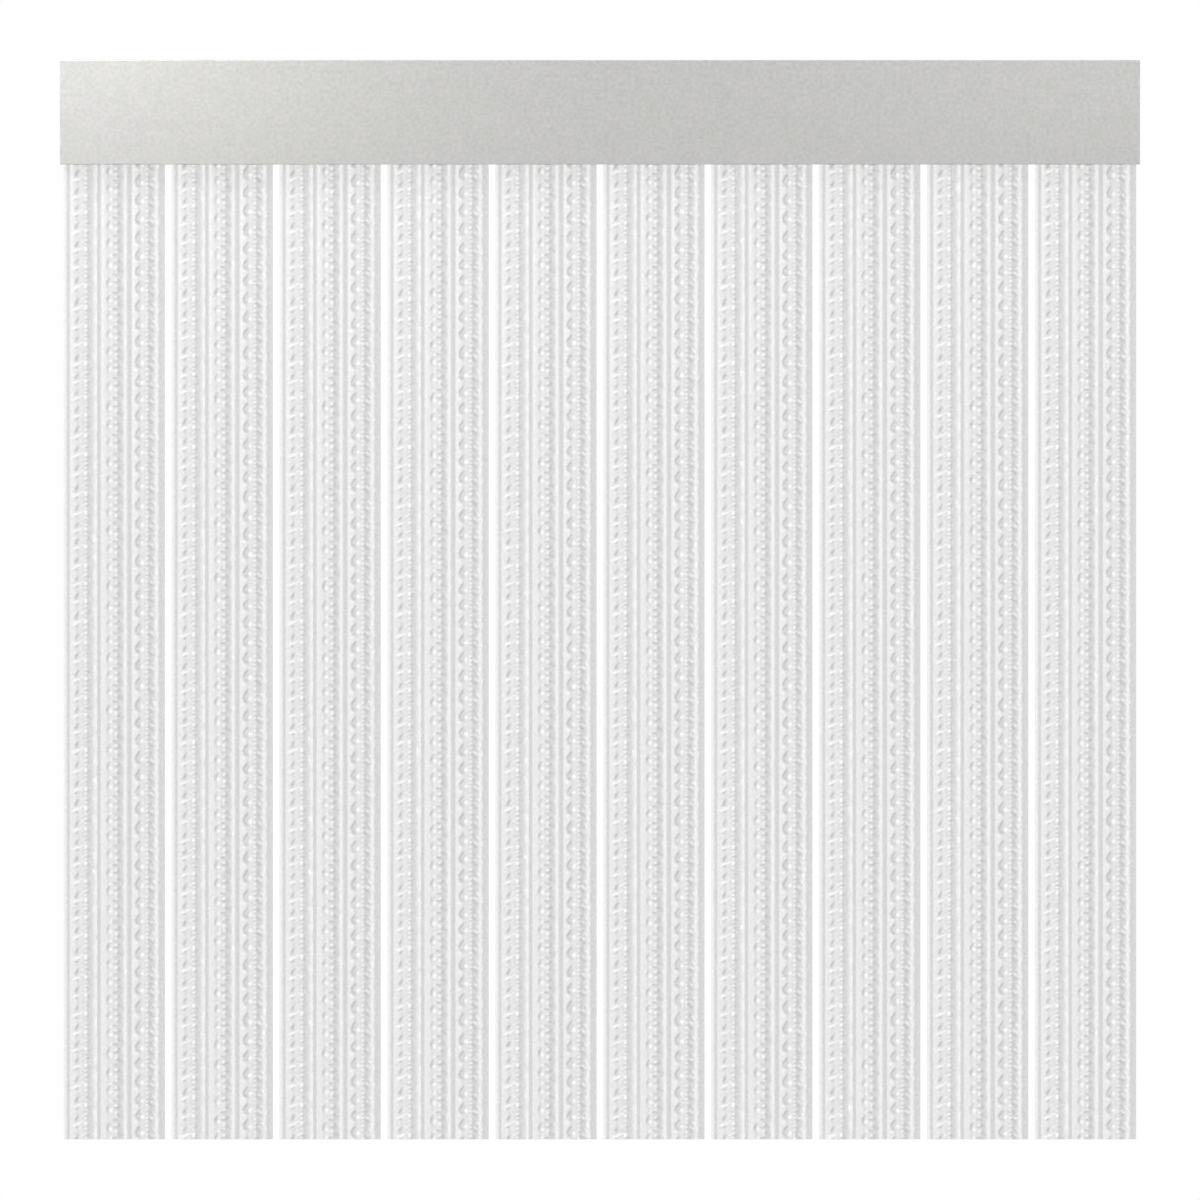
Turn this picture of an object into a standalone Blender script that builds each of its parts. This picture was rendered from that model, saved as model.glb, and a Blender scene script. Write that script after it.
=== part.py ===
"""Strip door curtain: clear PVC strips with roped ribs, swinging from a carrier rail in an aluminium header.

Axes: X runs along the header, Y from the front (-Y) to the wall (+Y), Z up.
Origin: centre of the header's back face, which lies against the wall. Units are metres.
"""

import math

import bmesh
import bpy
from mathutils import Vector

MM = 0.001

# The strips, as they show from the front
STRIP_COUNT = 10
ROPES_PER_STRIP = 3
ROPE_WIDTH = 21.6 * MM
WEB_WIDTH = 4.2 * MM
SELVEDGE_WIDTH = 5.5 * MM
STRIP_GAP = 5.8 * MM
STRIP_DROP = 813 * MM

# The strips' section
WEB_THICKNESS = 2.4 * MM
ROPE_THICKNESS = 7.2 * MM
SELVEDGE_ROUND = 0.8 * MM
ROPE_VALLEY_SHARE = 0.3
ROPE_FULLNESS = 0.35
ROPE_STEPS = 12

# The header box, made of a wall channel and a front fascia that snaps onto it
HEADER_HEIGHT = 87 * MM
WALL = 2 * MM
FASCIA_THICKNESS = 2 * MM
FASCIA_ROUND = 0.5 * MM
LIP_THICKNESS = 1.5 * MM
LIP_REACH = 3.2 * MM
ARM_THICKNESS = 1.5 * MM
TOOTH_SHARE = 0.75
CAP_THICKNESS = 2.5 * MM

# The hanger and stud plate that grip a strip's tab, and their swing
BEAD_RADIUS = 5.4 * MM
NECK_THICKNESS = 2.4 * MM
NECK_LENGTH = 3 * MM
BRIDGE_HEIGHT = 1.5 * MM
JAW_DEPTH = 10.1 * MM
JAW_THICKNESS = 2.1 * MM
JAW_CHAMFER = 0.6 * MM
JAW_COVER = 1 * MM
STUD_RADIUS = 1.5 * MM
STUD_HEAD_RADIUS = 2.6 * MM
STUD_HEAD_HEIGHT = 1.1 * MM
SWING_DEGREES = 45
SWING_ROOM = 0.6 * MM

# The carrier rail that the hangers turn in
BEAD_PLAY = 0.4 * MM
CHANNEL_WALL = 2.2 * MM
LIP_SPARE_DEGREES = 5
RAIL_NECK_WIDTH = 10 * MM
RAIL_NECK_HEIGHT = 4.8 * MM
RAIL_FLANGE_WIDTH = 30 * MM
RAIL_FLANGE_THICKNESS = 2 * MM

# Fasteners and their seats
RAIL_SCREW_COUNT = 5
RAIL_SCREW_RADIUS = 1.9 * MM
RAIL_SCREW_HEAD_RADIUS = 3.6 * MM
RAIL_SCREW_HEAD_HEIGHT = 2.4 * MM
RAIL_SCREW_FLOOR = 1 * MM
CAP_SCREW_RADIUS = 1.5 * MM
CAP_SCREW_HEAD_RADIUS = 2.9 * MM
CAP_SCREW_HEAD_HEIGHT = 1.5 * MM
CAP_SCREW_LENGTH = 13 * MM
PORT_WALL = 1.5 * MM
PORT_FLOOR = 0.5 * MM
PORT_INSET = 3 * MM
PORT_SLOT_DEGREES = 40
WALL_SLOT_COUNT = 4
WALL_SLOT_RADIUS = 1.9 * MM
WALL_SLOT_LENGTH = 10 * MM

# Gaps and overruns
SEAT_GAP = 0.3 * MM
END_PLAY = 0.4 * MM
CUT_OVERRUN = 1 * MM
WELD_OVERLAP = 0.5 * MM
WELD_DISTANCE = 0.001 * MM

# Facets of round forms
CHANNEL_SIDES = 36
BEAD_SIDES = 24
PORT_SIDES = 14
SCREW_SIDES = 12
STUD_SIDES = 8
ROUND_STEPS = 3
SMOOTH_DEGREES = 35

# Worked out: across the curtain
STRIP_WIDTH = 2 * SELVEDGE_WIDTH + ROPES_PER_STRIP * ROPE_WIDTH + (ROPES_PER_STRIP - 1) * WEB_WIDTH
STRIP_PITCH = STRIP_WIDTH + STRIP_GAP
ROPE_PITCH = ROPE_WIDTH + WEB_WIDTH
CHANNEL_LENGTH = STRIP_COUNT * STRIP_PITCH - STRIP_GAP + 2 * END_PLAY
HEADER_LENGTH = CHANNEL_LENGTH + 2 * CAP_THICKNESS
EXTRUSION_LENGTH = CHANNEL_LENGTH - 2 * SEAT_GAP

# Worked out: down a hanger, measured below the pivot
BRIDGE_TOP = BEAD_RADIUS + NECK_LENGTH
JAW_SLOT_TOP = BRIDGE_TOP + BRIDGE_HEIGHT
JAW_BOTTOM = JAW_SLOT_TOP + JAW_DEPTH
PIVOT_RISE = JAW_BOTTOM + JAW_COVER
JAW_SLOT_HALF = WEB_THICKNESS / 2 + SEAT_GAP
JAW_HALF = JAW_SLOT_HALF + JAW_THICKNESS
TAB_TOP = JAW_SLOT_TOP + SEAT_GAP
ROPE_TOP = JAW_BOTTOM + SEAT_GAP
STUD_DROP = (TAB_TOP + JAW_BOTTOM) / 2

# Worked out: the header is as deep as a strip needs to swing both ways past its lower edges
SWING = math.radians(SWING_DEGREES)
SWING_HALF_ROOM = PIVOT_RISE * math.tan(SWING) + (ROPE_THICKNESS / 2 + SWING_ROOM) / math.cos(SWING)
FASCIA_BACK = -(WALL + 2 * SWING_HALF_ROOM)
FASCIA_FRONT = FASCIA_BACK - FASCIA_THICKNESS
CHANNEL_FRONT = FASCIA_BACK + SEAT_GAP
PIVOT_Y = -(WALL + SWING_HALF_ROOM)

# Worked out: heights in the header
HEADER_TOP = HEADER_HEIGHT / 2
HEADER_BOTTOM = -HEADER_HEIGHT / 2
PIVOT_Z = HEADER_BOTTOM + PIVOT_RISE
CHANNEL_RADIUS = BEAD_RADIUS + BEAD_PLAY
CHANNEL_OUTER = CHANNEL_RADIUS + CHANNEL_WALL
RAIL_SHOULDER = math.sqrt(CHANNEL_OUTER**2 - (RAIL_NECK_WIDTH / 2) ** 2)
FLANGE_BOTTOM = PIVOT_Z + RAIL_SHOULDER + RAIL_NECK_HEIGHT
FLANGE_TOP = FLANGE_BOTTOM + RAIL_FLANGE_THICKNESS
SHELF_BOTTOM = FLANGE_TOP + SEAT_GAP
SHELF_TOP = SHELF_BOTTOM + WALL
CEILING = HEADER_TOP - WALL

# Worked out: screw ports
PORT_RADIUS = CAP_SCREW_RADIUS + SEAT_GAP
PORT_OUTER = PORT_RADIUS + PORT_WALL
PORT_STAND = PORT_RADIUS + PORT_FLOOR
UPPER_PORT_Z = CEILING - PORT_INSET - PORT_OUTER
LOWER_PORT_Z = SHELF_BOTTOM - PORT_INSET - PORT_OUTER
FRONT_PORT_Y = CHANNEL_FRONT + PORT_INSET + PORT_OUTER
PORT_CENTRES = (
    (-WALL - PORT_STAND, UPPER_PORT_Z),
    (-WALL - PORT_STAND, LOWER_PORT_Z),
    (FRONT_PORT_Y, SHELF_BOTTOM - PORT_STAND),
)


def material(name, colour, roughness, metallic=0.0, alpha=1.0):
    """A Principled material with one colour."""
    made = bpy.data.materials.new(name)
    made.use_nodes = True
    shader = made.node_tree.nodes["Principled BSDF"]
    shader.inputs["Base Color"].default_value = (*colour, 1.0)
    shader.inputs["Roughness"].default_value = roughness
    shader.inputs["Metallic"].default_value = metallic
    shader.inputs["Alpha"].default_value = alpha
    return made


def add_object(name, mesh, parent=None, location=(0, 0, 0)):
    """Links an object that holds the mesh, under its parent."""
    obj = bpy.data.objects.new(name, mesh)
    bpy.context.scene.collection.objects.link(obj)
    obj.parent = parent
    obj.location = location
    return obj


def finish_mesh(name, shape, finish=None):
    """Turns a bmesh into a mesh with outward faces, smooth across its round stretches."""
    bmesh.ops.recalc_face_normals(shape, faces=shape.faces)
    mesh = bpy.data.meshes.new(name)
    shape.to_mesh(mesh)
    shape.free()
    if finish:
        mesh.materials.append(finish)
    mesh.shade_smooth()
    mesh.set_sharp_from_angle(angle=math.radians(SMOOTH_DEGREES))
    return mesh


def prism(shape, outline, to_point, run):
    """Adds the solid that a closed outline of (u, v) points sweeps along run."""
    base = shape.faces.new([shape.verts.new(to_point(u, v)) for u, v in outline])
    grown = bmesh.ops.extrude_face_region(shape, geom=[base])
    moved = [item for item in grown["geom"] if isinstance(item, bmesh.types.BMVert)]
    bmesh.ops.translate(shape, verts=moved, vec=run)
    return shape


def along_x(outline, length, centre=0.0, shape=None):
    """A prism of a (y, z) outline, centred on an x."""
    start = centre - length / 2
    return prism(shape or bmesh.new(), outline, lambda y, z: (start, y, z), Vector((length, 0, 0)))


def along_y(outline, low, high, centre_x, shape):
    """A prism of an (x, z) outline between two y values."""
    return prism(shape, outline, lambda x, z: (centre_x + x, low, z), Vector((0, high - low, 0)))


def along_z(outline, low, high, shape=None):
    """A prism of an (x, y) outline between two z values."""
    return prism(shape or bmesh.new(), outline, lambda x, y: (x, y, low), Vector((0, 0, high - low)))


def rectangle(low_u, high_u, low_v, high_v):
    """The four corners of a rectangle."""
    return [(low_u, low_v), (high_u, low_v), (high_u, high_v), (low_u, high_v)]


def arc(centre, radius, start, end, steps):
    """Points from one angle to another, in radians, round a centre."""
    angles = [start + (end - start) * step / steps for step in range(steps + 1)]
    return [(centre[0] + radius * math.cos(a), centre[1] + radius * math.sin(a)) for a in angles]


def spread(count, length):
    """Evenly spaced places along a length, centred on zero."""
    return [(index + 0.5 - count / 2) * length / count for index in range(count)]


def turned(profile, sides, axis, centre, shape):
    """Adds a solid of revolution. The profile holds (distance along axis, radius) and ends on the axis."""
    side_way = axis.orthogonal().normalized()
    points = [shape.verts.new(centre + axis * d + side_way * r) for d, r in profile]
    edges = [shape.edges.new(pair) for pair in zip(points, points[1:])]
    whole_turn = {"cent": centre, "axis": axis, "angle": 2 * math.pi, "steps": sides, "use_merge": True}
    bmesh.ops.spin(shape, geom=points + edges, **whole_turn)
    bmesh.ops.remove_doubles(shape, verts=shape.verts, dist=WELD_DISTANCE)
    return shape


def extrusion(name, outline, length, finish, centre=0.0):
    """An object extruded along X from a (y, z) outline."""
    return add_object(name, finish_mesh(name, along_x(outline, length, centre), finish))


def cut(obj, shape, name):
    """Cuts a helper shape out of an object."""
    combine(obj, shape, name, "DIFFERENCE")


def combine(obj, shape, name, operation="UNION"):
    """Combines an object with a hidden helper shape."""
    helper = add_object(name, finish_mesh(name, shape))
    helper.hide_render = True
    helper.display_type = "WIRE"
    modifier = obj.modifiers.new(name, "BOOLEAN")
    modifier.operation = operation
    modifier.object = helper


def settled(obj):
    """The object's mesh with its modifiers applied; the object is removed."""
    graph = bpy.context.evaluated_depsgraph_get()
    mesh = bpy.data.meshes.new_from_object(obj.evaluated_get(graph), depsgraph=graph)
    bpy.data.objects.remove(obj)
    return mesh


def port(base, normal, travel):
    """Outline points of a C-shaped screw port that stands on a plate.

    base is the port's foot on the plate, normal points away from the plate, and travel is
    the way that the plate's outline is being followed.
    """
    slot = math.radians(PORT_SLOT_DEGREES)
    foot = math.acos(-PORT_STAND / PORT_OUTER)

    def point(radius, angle, side):
        along = side * radius * math.sin(angle)
        up = PORT_STAND + radius * math.cos(angle)
        return (
            base[0] + along * travel[0] + up * normal[0],
            base[1] + along * travel[1] + up * normal[1],
        )

    outer_steps = PORT_SIDES // 3
    outer = [foot + (slot - foot) * step / outer_steps for step in range(outer_steps + 1)]
    inner = [slot + 2 * (math.pi - slot) * step / PORT_SIDES for step in range(PORT_SIDES + 1)]
    points = [point(PORT_OUTER, angle, -1) for angle in outer]
    points += [point(PORT_RADIUS, angle, -1) for angle in inner]
    points += [point(PORT_OUTER, angle, 1) for angle in reversed(outer)]
    return points


def wall_channel_outline():
    """Section of the extrusion against the wall: back plate, top plate, shelf, snap lips and ports."""
    lip_back = CHANNEL_FRONT + LIP_THICKNESS
    return [
        (0, HEADER_BOTTOM),
        (0, HEADER_TOP),
        (CHANNEL_FRONT, HEADER_TOP),
        (CHANNEL_FRONT, CEILING - LIP_REACH),
        (lip_back, CEILING - LIP_REACH),
        (lip_back, CEILING),
        (-WALL, CEILING),
        *port((-WALL, UPPER_PORT_Z), (-1, 0), (0, -1)),
        (-WALL, SHELF_TOP),
        (lip_back, SHELF_TOP),
        (lip_back, SHELF_TOP + LIP_REACH),
        (CHANNEL_FRONT, SHELF_TOP + LIP_REACH),
        (CHANNEL_FRONT, SHELF_BOTTOM),
        *port((FRONT_PORT_Y, SHELF_BOTTOM), (0, -1), (1, 0)),
        (-WALL, SHELF_BOTTOM),
        *port((-WALL, LOWER_PORT_Z), (-1, 0), (0, -1)),
        (-WALL, HEADER_BOTTOM),
    ]


def carrier_rail_outline():
    """Section of the carrier rail: a screwed flange, a neck, and a C-channel open downwards."""
    centre = (PIVOT_Y, PIVOT_Z)
    neck_half = RAIL_NECK_WIDTH / 2
    flange_half = RAIL_FLANGE_WIDTH / 2
    mouth = SWING + math.asin(NECK_THICKNESS / 2 / CHANNEL_RADIUS) + math.radians(LIP_SPARE_DEGREES)
    shoulder = math.acos(neck_half / CHANNEL_OUTER)
    down = -math.pi / 2
    outer_steps = CHANNEL_SIDES // 3
    inner_steps = CHANNEL_SIDES - outer_steps
    return [
        (PIVOT_Y - flange_half, FLANGE_TOP),
        (PIVOT_Y + flange_half, FLANGE_TOP),
        (PIVOT_Y + flange_half, FLANGE_BOTTOM),
        (PIVOT_Y + neck_half, FLANGE_BOTTOM),
        *arc(centre, CHANNEL_OUTER, shoulder, down + mouth, outer_steps),
        *arc(centre, CHANNEL_RADIUS, down + mouth, down + 2 * math.pi - mouth, inner_steps),
        *arc(centre, CHANNEL_OUTER, down - mouth, -math.pi - shoulder, outer_steps),
        (PIVOT_Y - neck_half, FLANGE_BOTTOM),
        (PIVOT_Y - flange_half, FLANGE_BOTTOM),
    ]


def fascia_plate_outline():
    """Section of the fascia's plate, with its front edges rounded."""
    top_centre = (FASCIA_FRONT + FASCIA_ROUND, HEADER_TOP - FASCIA_ROUND)
    bottom_centre = (FASCIA_FRONT + FASCIA_ROUND, HEADER_BOTTOM + FASCIA_ROUND)
    half_turn = math.pi
    return [
        (FASCIA_BACK, HEADER_BOTTOM),
        (FASCIA_BACK, HEADER_TOP),
        *arc(top_centre, FASCIA_ROUND, half_turn / 2, half_turn, ROUND_STEPS),
        *arc(bottom_centre, FASCIA_ROUND, half_turn, half_turn * 3 / 2, ROUND_STEPS),
    ]


def fascia_arm_outline(lip_end, way):
    """Section of a snap arm that passes a lip's end and turns behind it.

    way is 1 where the tooth points up.
    """
    near = lip_end - way * SEAT_GAP
    far = near - way * ARM_THICKNESS
    tooth_front = CHANNEL_FRONT + LIP_THICKNESS + SEAT_GAP
    tooth_back = tooth_front + ARM_THICKNESS
    tooth_tip = near + way * LIP_REACH * TOOTH_SHARE
    return [
        (FASCIA_BACK - WELD_OVERLAP, near),
        (tooth_front, near),
        (tooth_front, tooth_tip),
        (tooth_back, tooth_tip),
        (tooth_back, far),
        (FASCIA_BACK - WELD_OVERLAP, far),
    ]


def hanger_outline():
    """Section of a hanger: the bead that turns in the rail, a neck, a bridge and the leg."""
    neck_half = NECK_THICKNESS / 2
    neck_turn = math.asin(neck_half / BEAD_RADIUS)
    down = -math.pi / 2
    return [
        *arc((0, 0), BEAD_RADIUS, down + neck_turn, down + 2 * math.pi - neck_turn, BEAD_SIDES),
        (-neck_half, -BRIDGE_TOP),
        (-JAW_HALF, -BRIDGE_TOP),
        (-JAW_HALF, -JAW_SLOT_TOP),
        (JAW_SLOT_HALF, -JAW_SLOT_TOP),
        (JAW_SLOT_HALF, -JAW_BOTTOM),
        (JAW_HALF - JAW_CHAMFER, -JAW_BOTTOM),
        (JAW_HALF, -JAW_BOTTOM + JAW_CHAMFER),
        (JAW_HALF, -BRIDGE_TOP),
        (neck_half, -BRIDGE_TOP),
    ]


def stud_plate_outline():
    """Section of the plate in front of the strip's tab, under the hanger's bridge."""
    return [
        (-JAW_SLOT_HALF, -TAB_TOP),
        (-JAW_HALF, -TAB_TOP),
        (-JAW_HALF, -JAW_BOTTOM + JAW_CHAMFER),
        (-JAW_HALF + JAW_CHAMFER, -JAW_BOTTOM),
        (-JAW_SLOT_HALF, -JAW_BOTTOM),
    ]


def rope_half_thickness(share):
    """Half the thickness of a roped rib at a share from -1 to 1 of its half width: three rounded crests."""
    fullness = (1 - share**2) ** ROPE_FULLNESS
    crests = 1 - ROPE_VALLEY_SHARE * math.sin(1.5 * math.pi * share) ** 2 * (1 - share**2)
    return WEB_THICKNESS / 2 + (ROPE_THICKNESS - WEB_THICKNESS) / 2 * fullness * crests


def strip_outline():
    """Section of a strip, from above: rounded selvedges, and roped ribs joined by thin webs."""
    web_half = WEB_THICKNESS / 2
    edge = STRIP_WIDTH / 2
    half = [(-edge, web_half - SELVEDGE_ROUND), (-edge + SELVEDGE_ROUND, web_half)]
    for rope_x in spread(ROPES_PER_STRIP, ROPES_PER_STRIP * ROPE_PITCH):
        for step in range(ROPE_STEPS + 1):
            share = 2 * step / ROPE_STEPS - 1
            half.append((rope_x + share * ROPE_WIDTH / 2, rope_half_thickness(share)))
    half += [(edge - SELVEDGE_ROUND, web_half), (edge, web_half - SELVEDGE_ROUND)]
    return half + [(x, -y) for x, y in reversed(half)]


def wall_slot_outline():
    """An upright slot with round ends, halfway up the header's closed chamber."""
    middle = (SHELF_TOP + CEILING) / 2
    rise = WALL_SLOT_LENGTH / 2 - WALL_SLOT_RADIUS
    upper = arc((0, middle + rise), WALL_SLOT_RADIUS, 0, math.pi, SCREW_SIDES // 2)
    lower = arc((0, middle - rise), WALL_SLOT_RADIUS, math.pi, 2 * math.pi, SCREW_SIDES // 2)
    return upper + lower


def countersunk_profile():
    """Half section of a cap screw, from its head to its point."""
    return [
        (0, 0),
        (0, CAP_SCREW_HEAD_RADIUS),
        (CAP_SCREW_HEAD_HEIGHT, CAP_SCREW_RADIUS),
        (CAP_SCREW_LENGTH - CAP_SCREW_RADIUS, CAP_SCREW_RADIUS),
        (CAP_SCREW_LENGTH, 0),
    ]


def seat_profile():
    """Half section of the cutter for a countersunk hole through an end cap."""
    head = CAP_SCREW_HEAD_RADIUS + SEAT_GAP
    shank = CAP_SCREW_RADIUS + SEAT_GAP
    reach = CAP_THICKNESS + CUT_OVERRUN
    return [
        (-CUT_OVERRUN, 0),
        (-CUT_OVERRUN, head),
        (0, head),
        (CAP_SCREW_HEAD_HEIGHT, shank),
        (reach, shank),
        (reach, 0),
    ]


def pan_head_profile():
    """Half section of a rail screw, from the top of its head to its point."""
    depth = WALL + 2 * SEAT_GAP + RAIL_FLANGE_THICKNESS + RAIL_NECK_HEIGHT - RAIL_SCREW_FLOOR
    head_edge = RAIL_SCREW_HEAD_HEIGHT / 2
    return [
        (-RAIL_SCREW_HEAD_HEIGHT, 0),
        (-RAIL_SCREW_HEAD_HEIGHT, RAIL_SCREW_HEAD_RADIUS - head_edge / 2),
        (-head_edge, RAIL_SCREW_HEAD_RADIUS),
        (0, RAIL_SCREW_HEAD_RADIUS),
        (0, RAIL_SCREW_RADIUS),
        (depth - RAIL_SCREW_RADIUS, RAIL_SCREW_RADIUS),
        (depth, 0),
    ]


def stud_profile():
    """Half section of a stud, from inside its plate through tab and leg to the head behind them."""
    seat = JAW_HALF + SEAT_GAP
    crown = seat + STUD_HEAD_HEIGHT
    return [
        (-JAW_SLOT_HALF - WELD_OVERLAP, 0),
        (-JAW_SLOT_HALF - WELD_OVERLAP, STUD_RADIUS),
        (seat, STUD_RADIUS),
        (seat, STUD_HEAD_RADIUS),
        (crown - STUD_HEAD_HEIGHT / 3, STUD_HEAD_RADIUS * math.cos(math.pi / 8)),
        (crown, STUD_HEAD_RADIUS / 2),
        (crown, 0),
    ]


def at_studs(profile, sides):
    """Solids of revolution along Y, one at each stud's place."""
    shape = bmesh.new()
    for x in spread(ROPES_PER_STRIP, ROPES_PER_STRIP * ROPE_PITCH):
        turned(profile, sides, Vector((0, 1, 0)), Vector((x, 0, -STUD_DROP)), shape)
    return shape


def stud_holes(half_length):
    """Cutters for the studs' holes through a hanger's leg or a strip's tab."""
    radius = STUD_RADIUS + SEAT_GAP
    profile = [(-half_length, 0), (-half_length, radius), (half_length, radius), (half_length, 0)]
    return at_studs(profile, STUD_SIDES)


def build_wall_channel(finish):
    """The extrusion that is screwed to the wall, with its wall slots and rail screw holes."""
    channel = extrusion("wall_channel", wall_channel_outline(), EXTRUSION_LENGTH, finish)
    slots = bmesh.new()
    for x in spread(WALL_SLOT_COUNT, HEADER_LENGTH):
        along_y(wall_slot_outline(), -WALL - CUT_OVERRUN, CUT_OVERRUN, x, slots)
    cut(channel, slots, "wall_slot_cutter")
    holes = bmesh.new()
    reach = WALL + 2 * CUT_OVERRUN
    radius = RAIL_SCREW_RADIUS + SEAT_GAP
    profile = [(0, 0), (0, radius), (reach, radius), (reach, 0)]
    for x in spread(RAIL_SCREW_COUNT, HEADER_LENGTH):
        top = Vector((x, PIVOT_Y, SHELF_TOP + CUT_OVERRUN))
        turned(profile, SCREW_SIDES, Vector((0, 0, -1)), top, holes)
    cut(channel, holes, "shelf_hole_cutter")


def build_front_fascia(finish):
    """The satin plate that shows from the front, with two snap arms held between the end caps."""
    fascia = extrusion("front_fascia", fascia_plate_outline(), HEADER_LENGTH, finish)
    arms = along_x(fascia_arm_outline(CEILING - LIP_REACH, 1), EXTRUSION_LENGTH)
    along_x(fascia_arm_outline(SHELF_TOP + LIP_REACH, -1), EXTRUSION_LENGTH, shape=arms)
    combine(fascia, arms, "fascia_arms")


def build_carrier_rail(finish):
    """The C-channel rail, drilled for its screws."""
    rail = extrusion("carrier_rail", carrier_rail_outline(), EXTRUSION_LENGTH, finish)
    holes = bmesh.new()
    depth = RAIL_FLANGE_THICKNESS + RAIL_NECK_HEIGHT - RAIL_SCREW_FLOOR + SEAT_GAP
    radius = RAIL_SCREW_RADIUS + SEAT_GAP
    profile = [(-CUT_OVERRUN, 0), (-CUT_OVERRUN, radius), (depth, radius), (depth, 0)]
    for x in spread(RAIL_SCREW_COUNT, HEADER_LENGTH):
        turned(profile, SCREW_SIDES, Vector((0, 0, -1)), Vector((x, PIVOT_Y, FLANGE_TOP)), holes)
    cut(rail, holes, "rail_hole_cutter")


def build_rail_screws(finish):
    """Pan head screws that hold the carrier rail under the shelf."""
    for number, x in enumerate(spread(RAIL_SCREW_COUNT, HEADER_LENGTH), start=1):
        shape = turned(pan_head_profile(), SCREW_SIDES, Vector((0, 0, -1)), Vector(), bmesh.new())
        name = f"rail_screw_{number}"
        add_object(name, finish_mesh(name, shape, finish), location=(x, PIVOT_Y, SHELF_TOP + SEAT_GAP))


def build_end_cap(side_name, side, finish, screw_finish):
    """A cap plate behind the fascia's end, and the screws that hold it on the channel's ports."""
    face_x = side * HEADER_LENGTH / 2
    centre = face_x - side * CAP_THICKNESS / 2
    outline = rectangle(CHANNEL_FRONT, 0, HEADER_BOTTOM, HEADER_TOP)
    cap = extrusion("end_cap_" + side_name, outline, CAP_THICKNESS, finish, centre)
    inward = Vector((-side, 0, 0))
    seats = bmesh.new()
    for number, (y, z) in enumerate(PORT_CENTRES, start=1):
        seat = Vector((face_x, y, z)) + inward * SEAT_GAP
        turned(seat_profile(), SCREW_SIDES, inward, seat, seats)
        shape = turned(countersunk_profile(), SCREW_SIDES, inward, Vector(), bmesh.new())
        name = f"cap_screw_{side_name}_{number}"
        add_object(name, finish_mesh(name, shape, screw_finish), location=seat)
    cut(cap, seats, "cap_seat_cutter_" + side_name)


def build_spacers(finish):
    """Short rods in the rail's channel that keep the hangers apart."""
    length = STRIP_GAP - 2 * SEAT_GAP
    profile = [(-length / 2, 0), (-length / 2, BEAD_RADIUS), (length / 2, BEAD_RADIUS), (length / 2, 0)]
    shape = turned(profile, BEAD_SIDES, Vector((1, 0, 0)), Vector(), bmesh.new())
    mesh = finish_mesh("spacer", shape, finish)
    for number, x in enumerate(spread(STRIP_COUNT - 1, (STRIP_COUNT - 1) * STRIP_PITCH), start=1):
        add_object(f"spacer_{number}", mesh, location=(x, PIVOT_Y, PIVOT_Z))


def strip_mesh(finish):
    """One strip about its pivot: roped ribs below the hanger, and a plain punched tab inside it."""
    bottom = HEADER_BOTTOM - STRIP_DROP - PIVOT_Z
    body = along_z(strip_outline(), bottom, -TAB_TOP)
    blank = add_object("strip_blank", finish_mesh("strip", body, finish))
    trims = bmesh.new()
    half_width = STRIP_WIDTH / 2 + CUT_OVERRUN
    web_half = WEB_THICKNESS / 2
    reach = ROPE_THICKNESS / 2 + CUT_OVERRUN
    for low, high in ((-reach, -web_half), (web_half, reach)):
        along_z(rectangle(-half_width, half_width, low, high), -ROPE_TOP, CUT_OVERRUN - TAB_TOP, trims)
    cut(blank, trims, "tab_trim_cutter")
    cut(blank, stud_holes(reach), "tab_hole_cutter")
    return settled(blank)


def hanger_mesh(finish):
    """One hanger about its pivot, as wide as its strip, with the studs' holes through its leg."""
    blank = extrusion("hanger", hanger_outline(), STRIP_WIDTH, finish)
    cut(blank, stud_holes(JAW_HALF + CUT_OVERRUN), "leg_hole_cutter")
    return settled(blank)


def stud_plate_mesh(finish):
    """One stud plate about the hanger's pivot."""
    blank = extrusion("stud_plate", stud_plate_outline(), STRIP_WIDTH, finish)
    combine(blank, at_studs(stud_profile(), STUD_SIDES), "plate_studs")
    return settled(blank)


def build_strips(strip_finish, hanger_finish):
    """Every strip with its hanger and stud plate, under an empty on its pivot axis."""
    meshes = {
        "strip": strip_mesh(strip_finish),
        "hanger": hanger_mesh(hanger_finish),
        "stud_plate": stud_plate_mesh(hanger_finish),
    }
    for number, x in enumerate(spread(STRIP_COUNT, STRIP_COUNT * STRIP_PITCH), start=1):
        pivot = add_object(f"strip_pivot_{number:02d}", None, location=(x, PIVOT_Y, PIVOT_Z))
        for name, mesh in meshes.items():
            add_object(f"{name}_{number:02d}", mesh, parent=pivot)


def main():
    """Clears the scene and builds the curtain."""
    for obj in list(bpy.data.objects):
        bpy.data.objects.remove(obj)
    satin_aluminium = material("satin_aluminium", (0.62, 0.62, 0.61), 0.38, metallic=1.0)
    mill_aluminium = material("mill_aluminium", (0.58, 0.58, 0.58), 0.45, metallic=1.0)
    clear_pvc = material("clear_pvc", (0.8, 0.8, 0.81), 0.18, alpha=0.7)
    white_pvc = material("white_rigid_pvc", (0.82, 0.82, 0.8), 0.45)
    zinc_steel = material("zinc_plated_steel", (0.6, 0.6, 0.58), 0.35, metallic=1.0)
    build_wall_channel(mill_aluminium)
    build_front_fascia(satin_aluminium)
    build_carrier_rail(mill_aluminium)
    build_rail_screws(zinc_steel)
    build_end_cap("left", -1, satin_aluminium, zinc_steel)
    build_end_cap("right", 1, satin_aluminium, zinc_steel)
    build_spacers(white_pvc)
    build_strips(clear_pvc, white_pvc)


main()
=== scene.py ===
"""Looks of a strip door curtain: clear PVC strips with roped ribs under a flat satin aluminium header.

Everything is in metres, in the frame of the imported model: X along the header, -Y to the front, Z up.
"""

import logging
import math
from dataclasses import dataclass, field
from enum import Enum
from typing import Any

import bmesh
import bpy
import numpy as np
from mathutils import Matrix, Vector

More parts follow.
